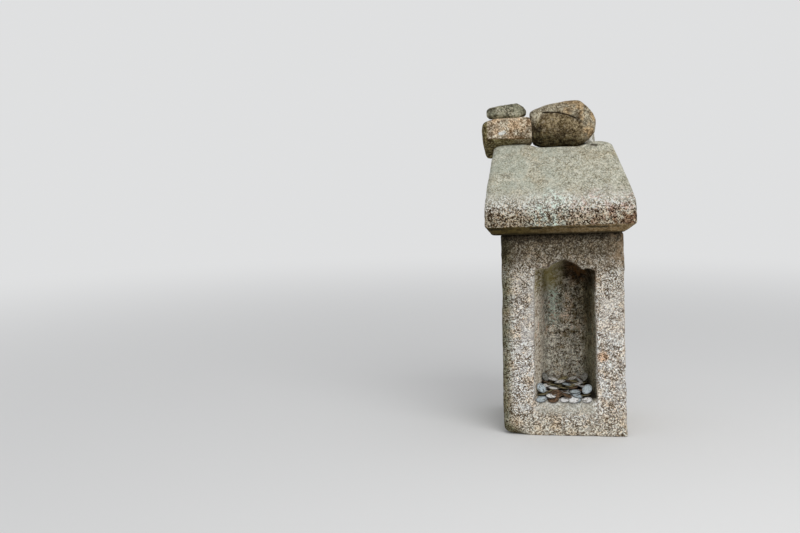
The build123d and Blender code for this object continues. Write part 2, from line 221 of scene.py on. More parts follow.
def body_loops():
    """Loops from the back's middle over the sides to the front face, into the mouth and to the niche's back.
    Faces are shares of the way between two outlines, and the edges between them are quarter turns."""
    def loop(outline, y):
        return np.stack([outline[:, 0], np.broadcast_to(y, len(outline)), outline[:, 1]], axis=1)

    rim = block_perimeter()
    inward = outline_inward(rim)
    heights = rim[:, 1]
    front_round, back_round = body_rounds(rim)
    middle = np.array([-5.0, 205.0])
    loops = [np.tile((middle[0], face_depth(middle[1], 1), middle[1]), (len(rim), 1))]
    back_rim = rim + inward * back_round[:, None]
    for t in shares(19):
        outline = middle + (back_rim - middle) * t
        loops.append(loop(outline, face_depth(outline[:, 1], 1)))
    for turn in shares(6) * math.pi / 2:
        outline = rim + inward * (back_round * (1 - math.sin(turn)))[:, None]
        loops.append(loop(outline, face_depth(heights, 1) - back_round * (1 - math.cos(turn))))
    start, end = face_depth(heights, 1) - back_round, face_depth(heights, -1) + front_round
    for t in shares(49):
        loops.append(loop(rim, start + (end - start) * t))
    for turn in shares(7) * math.pi / 2:
        outline = rim + inward * (front_round * (1 - math.cos(turn)))[:, None]
        loops.append(loop(outline, face_depth(heights, -1) + front_round * (1 - math.sin(turn))))
    face_rim = rim + inward * front_round[:, None]
    mouth = niche_outline(body_front + mouth_depth)
    outward = -outline_inward(mouth)
    lip = mouth + outward * mouth_wear
    for t in shares(35):
        outline = face_rim + (lip - face_rim) * t
        loops.append(loop(outline, face_depth(outline[:, 1], -1)))
    for turn in shares(5) * math.pi / 2:
        outline = mouth + outward * (mouth_wear * (1 - math.sin(turn)))
        loops.append(loop(outline, face_depth(lip[:, 1], -1) + mouth_wear * (1 - math.cos(turn))))
    wall_start, cove_start = body_front + mouth_depth + 0.5, body_front + niche_depth - cove_depth
    for t in shares(29):
        y = wall_start + (cove_start - wall_start) * t
        loops.append(loop(niche_outline(y), y))
    for turn in shares(13) * math.pi / 2:
        y = cove_start + cove_depth * math.sin(turn)
        loops.append(loop(niche_outline(y), y))
    back = niche_outline(body_front + niche_depth)
    niche_middle = np.array([4.5, 190.0])
    for t in 1 - shares(23):
        loops.append(loop(niche_middle + (back - niche_middle) * t, body_front + niche_depth))
    return loops


def body_relief(points, normals):
    """Undulation left by the chisel, pits between the grains, and a calmer floor where the coins lie."""
    x, y, z = points.T
    behind_face = half_depth - 2.0 - np.abs(y + 2.0)
    inside = ease(behind_face, 1.5, 8.0) * (np.abs(x - 0.5) < 68)
    floor = inside * (normals[:, 2] > 0.6) * (z < 110)
    move = weathering(points, [(75, 1.3), (32, 0.9), (13, 0.6), (6.5, 0.45)], 11)
    move += inside * weathering(points, [(9, 0.7), (5.5, 0.6)], 17)
    move = np.where(floor > 0.1, -0.35 - 0.25 * np.abs(move), move)
    moved = points + normals * move[:, None]
    moved[:, 2] = np.maximum(moved[:, 2], 0)
    return moved


body = loops_mesh("body_block_stone", body_loops(), body_relief)
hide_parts("body_block")


class Shade:
    """One value of a material's node tree. Arithmetic on it adds Math nodes to that tree."""

    def __init__(self, tree, socket=None):
        self.tree, self.socket = tree, socket

    def node(self, kind, settings=None, inputs=None, output=0):
        """Adds a node: its settings first, with a ramp's stops among them, then values or links by socket."""
        made = self.tree.nodes.new("ShaderNode" + kind)
        for key, value in (settings or {}).items():
            if key == "stops":
                ramp = made.color_ramp.elements
                while len(ramp) < len(value):
                    ramp.new(0.5)
                for element, (position, colour) in zip(ramp, value):
                    element.position, element.color = position, (*colour, 1)
            else:
                setattr(made, key, value)
        for key, value in (inputs or {}).items():
            if isinstance(value, Shade):
                self.tree.links.new(value.socket, made.inputs[key])
            elif isinstance(value, tuple) and len(value) == 3 and made.inputs[key].type == "RGBA":
                made.inputs[key].default_value = (*value, 1)
            else:
                made.inputs[key].default_value = value
        return Shade(self.tree, made.outputs[output])

    def maths(self, operation, first, second):
        """Result of a Math node's operation on two values."""
        return self.node("Math", {"operation": operation}, {0: first, 1: second})

    def __add__(self, other):
        return self.maths("ADD", self, other)

    def __radd__(self, other):
        return self.maths("ADD", other, self)

    def __sub__(self, other):
        return self.maths("SUBTRACT", self, other)

    def __rsub__(self, other):
        return self.maths("SUBTRACT", other, self)

    def __mul__(self, other):
        return self.maths("MULTIPLY", self, other)

    def __rmul__(self, other):
        return self.maths("MULTIPLY", other, self)

    def squared(self):
        """The value times itself."""
        return self * self

    def most(self, other):
        """The greater of two values."""
        return self.maths("MAXIMUM", self, other)

    def step(self, low, high):
        """Smooth step from 0 at low to 1 at high; low may be the larger."""
        return self.node("MapRange", {"interpolation_type": "SMOOTHSTEP"}, {0: self, 1: low, 2: high})

    def band(self, low, low_end, high_end, high):
        """Smooth band: 1 between its two inner ends, and 0 below low and above high."""
        return self.step(low, low_end) * self.step(high, high_end)

    def axes(self):
        """X, Y and Z of a vector, each a value by itself."""
        return [self.node("SeparateXYZ", None, {0: self}, axis) for axis in range(3)]

    def noise(self, size, detail=2.0, roughness=0.5):
        """Cloudy noise from 0 to 1, whose features are as wide as the size in metres."""
        inputs = {"Vector": self, "Scale": 1 / size, "Detail": detail, "Roughness": roughness}
        return self.node("TexNoise", None, inputs)

    def grains(self, size, channel=0):
        """A random value from 0 to 1 in each grain, grains being as wide as the size in metres."""
        colour = self.node("TexVoronoi", None, {"Vector": self, "Scale": 1 / size}, 1)
        return colour.node("SeparateColor", None, {0: colour}, channel)

    def ramp(self, stops):
        """Colour read from a ramp of stops, each a position and a colour."""
        return self.node("ValToRGB", {"stops": stops}, {0: self})

    def blend(self, factor, first, second, way="MIX"):
        """Colour that goes from the first to the second as the factor goes from 0 to 1."""
        return self.node("Mix", {"data_type": "RGBA", "blend_type": way}, {0: factor, 6: first, 7: second}, 2)

    def overlay(self, tints):
        """This colour with tints laid over it in turn. Each has a mask, a strength, a colour and a way of
        mixing: a stain multiplies and a coat covers."""
        colour = self
        for mask, strength, tint, way in tints:
            colour = colour.blend(mask * strength, colour, tint, way)
        return colour

    def bump(self, strength, depth):
        """Normal bent by this height, of which 1 is as deep as the depth in metres."""
        return self.node("Bump", None, {"Strength": strength, "Distance": depth, "Height": self})


stain, coat = "MULTIPLY", "MIX"


def new_finish(name, roughness, specular=0.12):
    """A material with a plain shader. Returns it, its shader node and the surface's own coordinates."""
    material = bpy.data.materials.new(name)
    material.use_nodes = True
    shader = material.node_tree.nodes["Principled BSDF"]
    shader.inputs["Roughness"].default_value = roughness
    shader.inputs["Specular IOR Level"].default_value = specular
    place = Shade(material.node_tree).node("TexCoord", None, None, 3)
    return material, shader, place


def feed(material, shader, values):
    """Links values to the shader's sockets by name."""
    for entry, value in values.items():
        material.node_tree.links.new(value.socket, shader.inputs[entry])


def granite_grain(place, grain, contrast, tones, hues, drifting):
    """Granite's mottle: grains each of their own tone and hue, while the tone drifts from place to place.
    Half of the tone is the grain's, a third that of grains half as wide, and the rest clouds. Returns the
    colour and the tone, which also serves as height."""
    drift = place.node("TexNoise", None, {"Vector": place, "Scale": 1 / (2.5 * grain), "Detail": 1.0}, 1)
    bend = {0: drift, 1: (grain, grain, grain), 2: place}
    bent = place.node("VectorMath", {"operation": "MULTIPLY_ADD"}, bend)
    coarse, small = bent.grains(grain), place.grains(grain * 0.5)
    clouds = place.noise(grain * 2.2, 2.0, 0.6).step(0.36, 0.64)
    wide = place.noise(grain * 10, 4.0, 0.7)
    value = (coarse * 0.5 + small * 0.35 + clouds * 0.15 - 0.5) * contrast + (wide - 0.5) * drifting + 0.5
    hue = bent.grains(grain, 1)
    colour = value.ramp(tones).overlay([
        (hue.step(0.66, 0.9), hues, (1.0, 0.80, 0.58), stain),
        (hue.step(0.3, 0.12), hues, (0.84, 0.93, 1.0), stain),
    ])
    return colour, value


def body_tints(place, value):
    """What weather and use have laid on the body's granite, with painted light and shade among it, face first
    and niche after, by masks of place and of the grain's tone."""
    x, y, z = place.axes()
    front, face = y.step(-0.1, -0.11), y.step(-0.108, -0.112)
    yield place.noise(0.028, 3.0).step(0.42, 0.68), 0.6, (1.0, 0.84, 0.66), stain
    # Pale crusts of lichen: here and there, and thickest along the niche's left edge
    edge = x.band(-0.105, -0.085, -0.068, -0.058) * z.band(0.12, 0.2, 0.325, 0.345)
    crust = (place.noise(0.024, 4.0, 0.65) + edge * 0.12).step(0.54, 0.66)
    yield crust * front, 0.42, (0.70, 0.69, 0.67), coat
    # The head is darker under the roof, partly dampness and partly painted shade of the eave, and darkest at
    # the bed
    damp_and_eave_shade = (z - x * 0.03 + place.noise(0.03, 2.0) * 0.03).step(0.342, 0.408)
    yield damp_and_eave_shade * (0.97 - value.step(0.7, 1.2) * 0.35), 1, (0.205, 0.165, 0.085), stain
    # Painted shade of the eave also darkens the face's upper part and the lintel, with a darker mottle on the
    # lintel
    yield z.step(0.19, 0.32) * front, 0.5, (0.66, 0.62, 0.54), stain
    lintel = z.step(0.335, 0.365) * front
    yield lintel, 0.22, (0.22, 0.19, 0.15), coat
    yield lintel * place.noise(0.009, 4.0, 0.7).step(0.53, 0.43), 0.75, (0.48, 0.43, 0.34), stain
    # Painted contact shadow along the bed under the roof
    yield (z - x * math.tan(bed_tilt)).step(0.398, 0.418), 0.85, (0.12, 0.10, 0.06), stain
    # The right jamb has a bright patch, and above it the corner is warm
    bright = place.noise(0.016, 4.0, 0.65).step(0.42, 0.6) * x.step(0.062, 0.078)
    yield bright * z.band(0.19, 0.23, 0.28, 0.32) * front, 0.3, (0.95, 0.88, 0.79), coat
    corner = place.noise(0.012, 4.0, 0.65).step(0.4, 0.6) * x.step(0.07, 0.11)
    yield corner * z.step(0.345, 0.365) * front, 0.45, (0.40, 0.28, 0.17), coat
    # Green-grey film down the left arris, darker towards the lower left corner, and soil colour near the foot
    film = x.step(-0.100, -0.124) * (place.noise(0.04, 3.0).step(0.25, 0.55) * 0.5 + 0.5)
    yield film.most((x * 0.8 + z).step(-0.05, -0.078)), 0.94, (0.28, 0.29, 0.20), stain
    yield (z + place.noise(0.05, 3.0) * 0.05).step(0.1, 0.035), 0.5, (0.86, 0.79, 0.62), stain
    # The sill's front is rubbed smooth and pale by hands
    sill = z.band(0.036, 0.056, 0.072, 0.077) * x.band(-0.07, -0.05, 0.05, 0.07)
    yield sill * y.step(-0.09, -0.1), 0.5, (0.56, 0.55, 0.47), coat
    # A chipped seam on the left jamb, and a rusty stain on the right one
    seam = z + x * 0.85 - 0.2500 + (place.noise(0.006, 3.0) - 0.5) * 0.003
    seam = seam.squared().step(0.0000045, 0.000001) * x.band(-0.097, -0.093, -0.078, -0.072)
    yield seam * face, 0.8, (0.10, 0.075, 0.05), coat
    rusty = ((x - 0.075).squared() + (z - 0.168).squared()).step(0.0002, 0.00002)
    yield rusty * face, 0.7, (1.0, 0.66, 0.40), stain
    # Inside the niche: grey-green at the back, dark blotches and pale patches, redder half way up; painted
    # shade on the right and painted light on the left
    inside = y.band(-0.114, -0.1, 0.024, 0.03) * x.band(-0.072, -0.068, 0.066, 0.070)
    inside = inside * z.band(0.06, 0.066, 0.38, 0.385)
    left_wall, right_wall = inside * x.step(-0.04, -0.052), inside * x.step(0.036, 0.052)
    deep = inside * y.step(-0.11, -0.02)
    aside, low = x.step(-0.035, 0.02), z.step(0.19, 0.13)
    yield deep * (1 - left_wall), 0.4, (0.90, 0.89, 0.72), stain
    clear = place.noise(0.018, 4.0, 0.65).step(0.40, 0.60)
    # Dark blotches, partly painted shade: stronger to the right, weaker low down and on the left wall
    blotch_and_shade = (1 - clear) * (1 - left_wall * 0.6) * (aside * 0.4 + 0.6 - low * 0.3)
    yield deep * blotch_and_shade, 1, (0.25, 0.21, 0.13), stain
    brown = (z + place.noise(0.03, 3.0) * 0.03).step(0.20, 0.31) * x.step(-0.025, 0.02)
    yield deep * brown, 0.55, (0.55, 0.46, 0.32), stain
    # Pale patches, brightened to the left and low down as painted light
    lit = 1.2 - aside * 0.65 + low * 0.4 + x.step(-0.03, -0.042) * 0.6
    patch = place.noise(0.011, 4.0, 0.7).step(0.45, 0.59) * (value.step(0.3, 0.9) * 0.6 + 0.25)
    yield deep * lit * patch, 1, (0.98, 0.95, 0.83), coat
    # Painted shade in the niche's upper right
    yield deep * x.step(0.012, 0.045) * z.step(0.19, 0.26), 0.8, (0.42, 0.40, 0.30), stain
    # Painted light on the left wall
    yield left_wall, 0.5, (1.0, 0.89, 0.72), coat
    red = place.noise(0.02, 3.0).step(0.5, 0.66) * z.band(0.18, 0.2, 0.26, 0.29)
    yield inside * red, 0.5, (1.0, 0.7, 0.55), stain
    # Its head is painted dark as shade on the right, with rusty brown there, and green with moss on the left
    head = (z + place.noise(0.025, 3.0) * 0.03).step(0.30, 0.345) * z.step(0.385, 0.38)
    head = head * y.band(-0.1165, -0.111, 0.024, 0.03) * x.band(-0.066, -0.06, 0.06, 0.066)
    yield head * x.step(-0.03, 0.008) * (0.96 - x.step(0.02, 0.05) * 0.12), 1, (0.11, 0.066, 0.03), stain
    rust = head * x.step(0.0, 0.02) * place.noise(0.014, 4.0).step(0.44, 0.56)
    yield rust, 0.4, (0.17, 0.075, 0.02), coat
    moss = (z + place.noise(0.02, 3.0) * 0.03).step(0.285, 0.325) * x.step(0.008, -0.035)
    yield inside * moss, 0.72, (0.36, 0.30, 0.10), coat
    # The side walls were left rough: the right one is painted dark as shade, and their bright and dark
    # flakes, partly grain and partly painted light and shade of the chisel marks, run inward
    # Painted shade on the right wall
    yield right_wall, 0.85, (0.28, 0.28, 0.20), stain
    drawn_in = place.node("VectorMath", {"operation": "MULTIPLY"}, {0: place, 1: (1, 0.35, 1)})
    # Flakes: partly grain, partly painted light and shade of the chisel marks
    flakes_and_chisel_shading = drawn_in.grains(0.0028)
    yield left_wall * flakes_and_chisel_shading.step(0.45, 0.15), 0.95, (0.40, 0.34, 0.26), stain
    yield left_wall * flakes_and_chisel_shading.step(0.6, 0.9), 0.7, (1.0, 0.95, 0.84), coat
    yield right_wall * flakes_and_chisel_shading.step(0.6, 0.9), 0.25, (0.30, 0.30, 0.22), coat
    lichen = place.noise(0.006, 4.0, 0.65).step(0.44, 0.54) * x.band(-0.038, -0.029, -0.018, 0.0)
    lichen = lichen * z.band(0.20, 0.23, 0.28, 0.305) * (value.step(0.2, 0.7) * 0.6 + 0.25)
    yield deep * lichen, 1, (0.66, 0.80, 0.68), coat
    # The floor between the coins is near black, partly dirt and partly painted shade in the gaps, less by the
    # left wall and at the back
    bed = inside * y.step(-0.106, -0.098) * (z - y * math.tan(floor_slope)).step(0.0965, 0.0935)
    bed = bed * (x.step(-0.058, -0.046) * 0.6 + 0.4) * (0.9 - y.step(-0.02, 0.0) * 0.5)
    yield bed, 1, (0.05, 0.04, 0.03), coat


def body_finish():
    """Body's granite: pale grains on the jambs, a dark band under the eave, partly dampness and partly
    painted shade, moss in the niche's head.
    """
    material, shader, place = new_finish("body_granite", 0.9)
    tones = [(0.0, (0.085, 0.058, 0.036)), (0.24, (0.22, 0.172, 0.122)), (0.48, (0.45, 0.405, 0.335)),
             (0.74, (0.69, 0.665, 0.61)), (1.0, (1.0, 1.0, 0.97))]
    colour, value = granite_grain(place, 0.0020, 3.3, tones, 0.45, 2.1)
    height = value * 0.6 + place.noise(0.0035, 3.0, 0.6) * 0.4
    colour = colour.overlay(body_tints(place, value))
    feed(material, shader, {"Base Color": colour, "Normal": height.bump(0.5, 0.0009)})
    return material


body.data.materials.append(body_finish())


# Roof block
# One granite block laid on the body as a hipped roof, with heavy eaves that are undercut all round.
# Its slopes are worn smooth, its flat ridge sags in the middle, and its eaves are rough and lichened.

roof_height, eave_height, undercut_height = 184.0, 70.0, 19.0
roof_shift, ridge_sag = -12.5, 8.5


def roof_outline(left, right, front, back, corner):
    """Plan of the roof at one height: a rectangle whose corners are rounded."""
    knots = [(left, front), (right, front), (right, back), (left, back)]
    return rounded_outline(knots, [(corner, corner)] * 4, [0] * 4, [9] * 4, [88, 82, 88, 82])


def roof_loops():
    """Loops from the bed's middle round the undercut, up eaves and slopes and over the ridge to its middle.
    All sides go through six knots: bed's middle and edge, undercut's and eave's top, ridge's edge and middle.
    Each loop is a share of the way between two of them, and round a knot the way is a parabola."""
    heights = np.array([0, 0, undercut_height, eave_height, roof_height, roof_height])
    sides = np.array([
        [-12, -138, -152, -152, -132, -11.0],
        [-12, 127, 152, 152, 110, -11.0],
        [0, -125, -150, -150, -40, 0.0],
        [0, 125, 150, 150, 40, 0.0],
    ])
    corners = np.array([0.5, 12, 17, 20, 16, 0.5])
    bend_before, bend_after = [0, 0.04, 0.12, 0.45, 0.09, 0], [0, 0.1, 0.09, 0.24, 0.22, 0]
    bend_rows, run_rows = [0, 4, 5, 12, 8, 0], [14, 9, 12, 46, 22]
    knots = np.eye(len(heights))
    ways = []
    for number, rows in enumerate(run_rows):
        near, far = knots[number], knots[number + 1]
        before, after = bend_before[number + 1], bend_after[number + 1]
        for t in np.linspace(bend_after[number], 1 - before, rows + 1):
            ways.append((1 - t) * near + t * far)
        if bend_rows[number + 1]:
            start, end = before * near + (1 - before) * far, (1 - after) * far + after * knots[number + 2]
            for t in np.linspace(0, 1, bend_rows[number + 1] + 2)[1:-1]:
                ways.append((1 - t) ** 2 * start + 2 * t * (1 - t) * far + t * t * end)
    loops = []
    for way in ways:
        left, right, front, back = sides @ way
        outline = roof_outline(left, right, front, back, float(corners @ way))
        height = np.full(len(outline), heights @ way)
        loops.append(np.stack([outline[:, 0], outline[:, 1], height], axis=1))
    for end in (0, -1):
        loops[end][:] = loops[end].mean(axis=0)
    return loops


def roof_relief(points, normals):
    """Sags the ridge, roughens the eaves more than the slopes, dents the ridge beside a lifting flake and
    lays the roof on its tilted bed."""
    x, z = points[:, 0], points[:, 2]
    saddle = roof_height - ridge_sag * ease(x, -72, -30) * ease(-x, -80, -38)
    soft = 2.5
    over = np.clip((z - saddle + soft) / (2 * soft), 0, 1)
    points = points.copy()
    points[:, 2] = np.where(z > saddle - soft, np.minimum(z, saddle) - 0.6 * over * (1 - over), z)
    rough = ease(-z, -120, -72) * ease(z, 6, 22)
    move = weathering(points, [(95, 1.6), (38, 0.9)], 31) + weathering(points, [(15, 0.35), (8, 0.2)], 35)
    move += rough * (weathering(points, [(22, 1.0), (11, 0.9), (6, 0.6)], 39) - 0.3)
    flake_place, flake_size, flake_depth = (70, -41, 182), (11, 7, 4), 3.5
    flake = ((points - flake_place) / flake_size) ** 2
    move -= flake_depth * np.exp(-flake.sum(axis=1))
    bed = (normals[:, 2] < -0.5) & (z < 4)
    points = points + normals * np.where(bed, 0, move)[:, None]
    x, z = points[:, 0] + roof_shift, points[:, 2]
    across, up = math.cos(bed_tilt), math.sin(bed_tilt)
    return np.stack([x * across - z * up, points[:, 1], x * up + z * across + body_height], axis=1)


roof = loops_mesh("roof_block_stone", roof_loops(), roof_relief)
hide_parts("roof_block")


def roof_finish():
    """Roof's granite: grey-green patina on the slopes, open speckled grain on the eaves, an ochre undercut
    with painted shade and painted light on it.
    """
    material, shader, place = new_finish("roof_granite", 0.88)
    x, y, z = place.axes()
    level = z - x * math.tan(bed_tilt)
    open_tones = [(0.0, (0.055, 0.036, 0.022)), (0.3, (0.17, 0.125, 0.085)), (0.5, (0.385, 0.335, 0.265)),
                  (0.70, (0.72, 0.69, 0.60)), (1.0, (1.0, 1.0, 0.96))]
    rough, value = granite_grain(place, 0.0024, 3.7, open_tones, 0.6, 2.2)
    worn_tones = [(0.0, (0.20, 0.185, 0.14)), (0.35, (0.385, 0.38, 0.29)), (0.6, (0.455, 0.45, 0.355)),
                  (1.0, (0.73, 0.71, 0.60))]
    faint = place.noise(0.012, 4.0, 0.7).step(0.3, 0.7)
    pits = place.grains(0.003, 2).step(0.86, 0.92) * place.noise(0.025, 3.0).step(0.42, 0.58)
    worn = granite_grain(place, 0.0018, 2.3, worn_tones, 0.3, 1.5)[0].overlay([
        (place.noise(0.05, 3.0).step(0.45, 0.68), 0.5, (1.0, 0.9, 0.78), stain),
        (1 - faint, 0.6, (0.70, 0.69, 0.64), stain),
        (faint, 0.25, (0.60, 0.60, 0.52), coat),
        (pits, 0.7, (0.45, 0.40, 0.32), stain),
        (place.noise(0.03, 3.0).step(0.6, 0.42) * x.step(0.02, -0.06), 0.3, (0.42, 0.47, 0.40), coat),
        (level.band(0.474, 0.488, 0.496, 0.512), 0.3, (0.70, 0.69, 0.60), coat),
    ])
    # Patina gives way to open grain along a ragged line above the eaves, which are darker below
    ragged = level + (place.noise(0.03, 4.0, 0.7) - 0.5) * 0.06
    speckled, bare, eave = ragged.step(0.522, 0.484), ragged.step(0.488, 0.468), ragged.step(0.52, 0.49)
    dark = rough.blend(level.step(0.497, 0.452), rough, (0.66, 0.60, 0.49), stain)
    colour = worn.blend(speckled * 0.6, worn, rough)
    colour = colour.blend(bare, colour, dark)
    # Minty lichen left of the middle, rust towards the right corner, mauve between
    mint = place.noise(0.010, 4.0, 0.65).step(0.47, 0.57) * x.band(-0.10, -0.045, -0.02, 0.02) * eave
    rust = place.noise(0.02, 3.0).step(0.42, 0.56) * (x.step(0.03, 0.09) * 0.7 + 0.3) * bare
    mauve = place.noise(0.013, 4.0, 0.65).step(0.50, 0.60) * x.step(-0.03, 0.04) * speckled
    colour = colour.overlay([
        (mint * (value.step(0.25, 0.65) * 0.7 + 0.15), 1, (0.78, 0.92, 0.82), coat),
        (rust, 0.85, (0.40, 0.25, 0.17), stain),
        (mauve, 0.5, (0.86, 0.62, 0.60), stain),
    ])
    # Undercut: blotched ochre, partly painted shade, paler to the right as painted light, a broken painted
    # shadow line below the ledge and a painted shadow at the bed
    right = x.step(-0.12, 0.10)
    ochre = place.blend(right, (0.11, 0.08, 0.024), (0.36, 0.255, 0.13)).overlay([
        (place.noise(0.012, 4.0, 0.65).step(0.42, 0.58), 0.7, (0.45, 0.40, 0.30), stain),
        (value.step(0.7, 0.2), 0.6, (0.45, 0.38, 0.28), stain),
        (value.step(0.75, 1.1) * right, 0.35, (0.46, 0.40, 0.27), coat),
    ])
    ledge = level + (place.noise(0.016, 4.0, 0.7) - 0.5) * 0.008
    shadow_line = ledge.band(0.4330, 0.4360, 0.4375, 0.4400) * place.noise(0.03, 3.0).step(0.36, 0.56)
    # A flake is lifting off the ridge near its right end, and the gap under it is painted dark as shade
    chip_x, chip_z = x - 0.0575, z - 0.600 - (place.noise(0.01, 2.0) - 0.5) * 0.006
    flake_gap_shadow = (chip_x.squared() * 0.1 + chip_z.squared()).step(0.00001, 0.000003) * y.step(-0.03, -0.036)
    colour = colour.blend(ledge.step(0.4425, 0.4395), colour, ochre).overlay([
        # Painted shadow along the broken line and at the bed
        (shadow_line.most(ledge.step(0.4285, 0.424)), 0.8, (0.012, 0.01, 0.004), coat),
        (flake_gap_shadow, 0.85, (0.05, 0.035, 0.022), coat),
    ])
    height = (value * 0.6 + place.noise(0.004, 3.0, 0.6) * 0.4) * (eave * 0.75 + 0.25)
    feed(material, shader, {"Base Color": colour, "Normal": height.bump(0.6, 0.0014)})
    return material


roof.data.materials.append(roof_finish())


# Stones on the ridge
# Field stones of the same granite, gathered loose and laid on the ridge: a squarish block, a flat stone on
# it, a boulder, and a small wedge that steadies the boulder. Weather has rounded what the breaks left sharp.

# The boulder's crack runs level, then falls as the square of the way beyond its turn, all in millimetres
crack_height, crack_turn, crack_fall = 668.5, -28.0, 0.0055


def broken_stone(name, middle, size, front, plan, side, softness, relief, seed, crack=None):
    """A stone as the space inside its facets. Each side of its front, plan and side outlines, given as shares
    of half its size, is a facet. In each direction the distance to the skin is the least of those to the
    facets, softened so that arrises come out round."""
    half = np.array(size) / 2
    tilt, tilt_range = np.random.RandomState(seed), 0.09
    planes, reaches = [], []
    for outline, axes in ((front, (0, 2)), (plan, (0, 1)), (side, (1, 2))):
        points = np.array(outline) * half[list(axes)]
        ahead = np.roll(points, -1, axis=0) - points
        middle_points = points + ahead / 2
        facing = np.zeros((len(points), 3))
        facing[:, axes[0]], facing[:, axes[1]] = ahead[:, 1], -ahead[:, 0]
        facing = unit(unit(facing) + tilt.uniform(-tilt_range, tilt_range, facing.shape))
        through = np.zeros((len(points), 3))
        through[:, axes[0]], through[:, axes[1]] = middle_points[:, 0], middle_points[:, 1]
        planes.append(facing)
        reaches.append(np.sum(facing * through, axis=1))
    planes, reaches = np.vstack(planes), np.concatenate(reaches)
    down = np.linspace(0, math.pi, 110)
    across = np.linspace(0, 2 * math.pi, 181)[:-1]
    down, across = np.meshgrid(down, across, indexing="ij")
    aim = np.stack([np.sin(down) * np.cos(across), np.cos(down), np.sin(down) * np.sin(across)], axis=-1)
    closeness = np.maximum(aim @ planes.T, 0) / reaches
    distance = np.sum(closeness ** softness, axis=-1) ** (-1 / softness)
    skin = aim * distance[..., None]
    skin = skin * (half / np.abs(skin).max(axis=(0, 1))) + np.array(middle)

    def worn(points, normals):
        moved = points + normals * weathering(points, relief, seed)[:, None]
        return crack(moved) if crack else moved

    return loops_mesh(name, skin, worn)


def stone_finish(name, tones, grain, contrast, tints):
    """Granite in a stone's own tones, with its tints laid over by masks of place."""
    material, shader, place = new_finish(name, 0.9)
    colour, value = granite_grain(place, grain, contrast, tones, 0.3, 2.0)
    height = value * 0.5 + place.noise(0.004, 4.0, 0.65) * 0.5
    feed(material, shader, {"Base Color": colour.overlay(tints(place)), "Normal": height.bump(0.6, 0.0012)})
    return material


def step_in_face(points):
    """Below the crack's line the boulder's front face stands back, and along the line runs a groove."""
    x, y, z = points.T
    line = crack_height - crack_fall * np.clip(x - crack_turn, 0, None) ** 2
    front = ease(-y, 15, 40) * ease(x, -60, -46) * ease(-x, -46, -26)
    below = ease(line - z, -1.0, 2.5) * ease(z, 600, 625)
    groove = np.exp(-((z - line) / 2.2) ** 2)
    points = points.copy()
    points[:, 1] += front * (3.4 * below + 2.2 * groove)
    return points


boulder = broken_stone(
    "boulder_stone", (-6, -7, 646.5), (139, 94, 101),
    [(-1.0, 0.46), (-0.96, -0.05), (-0.9, -0.80), (-0.62, -1.02), (0.46, -1.02), (0.95, -0.42), (1.0, 0.06),
     (0.74, 0.62), (0.48, 0.95), (0.28, 1.0), (-0.72, 0.62)],
    [(-1, -0.5), (-0.75, -0.95), (0.35, -1), (0.85, -0.6), (1, 0.2), (0.6, 0.9), (-0.3, 1), (-0.95, 0.6)],
    [(-0.5, -1), (0.7, -1), (1, 0), (0.8, 0.7), (0.2, 1), (-0.3, 1), (-0.97, 0.38), (-1, 0), (-0.85, -0.6)],
    26, [(50, 1.4), (22, 0.9), (9, 0.5)], 5, step_in_face)
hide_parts("boulder")


def boulder_tints(place):
    """A browner face below the crack, darker there as painted shade, a painted shadow in the crack, painted
    shade at the left end, ochre on the right, and painted shade at the foot.
    """
    x, y, z = place.axes()
    beyond = (x - crack_turn * millimetre).most(0.0)
    above_line = beyond.squared() * (crack_fall / millimetre) + z - crack_height * millimetre
    low = (above_line + place.noise(0.012, 3.0) * 0.003).step(0.0020, -0.0015)
    face = low * y.step(-0.012, -0.03) * x.step(0.042, 0.028)
    face = face * (x - z * 0.9 + place.noise(0.02, 3.0) * 0.02).step(-0.645, -0.625)
    yield place.noise(0.010, 4.0).step(0.55, 0.65) * (1 - face), 0.35, (0.50, 0.47, 0.36), coat
    # Below the crack the face is browner, and darker as painted shade of the overhang
    yield face, 0.85, (0.60, 0.50, 0.35), stain
    yield face * place.noise(0.016, 4.0, 0.6).step(0.52, 0.40), 0.85, (0.40, 0.36, 0.28), stain
    # Painted shadow in the crack
    crack = above_line.squared().step(0.000004, 0.000001) * y.step(-0.02, -0.03)
    yield crack * x.band(-0.052, -0.046, 0.012, 0.03), 0.95, (0.08, 0.055, 0.03), stain
    # Painted shade at the left end
    yield (z - x * 0.4).step(0.682, 0.668) * x.step(-0.045, -0.058), 0.75, (0.36, 0.35, 0.29), stain
    ochre = place.noise(0.02, 3.0).step(0.4, 0.6) * x.step(-0.03, 0.01)
    yield ochre * (1 - face), 0.75, (1.0, 0.74, 0.48), stain
    yield face * place.noise(0.007, 4.0, 0.65).step(0.53, 0.64), 0.55, (0.50, 0.42, 0.29), coat
    # Painted shade under the foot, with an olive mottle
    foot = (z + x * 0.15).step(0.640, 0.604)
    yield foot, 0.92, (0.24, 0.225, 0.14), stain
    yield foot * place.noise(0.006, 4.0, 0.65).step(0.54, 0.62), 0.5, (0.20, 0.18, 0.10), coat


boulder_tones = [(0.0, (0.06, 0.045, 0.027)), (0.35, (0.165, 0.135, 0.088)), (0.6, (0.275, 0.238, 0.165)),
                 (1.0, (0.62, 0.57, 0.43))]
boulder.data.materials.append(stone_finish("boulder_granite", boulder_tones, 0.0021, 1.5, boulder_tints))

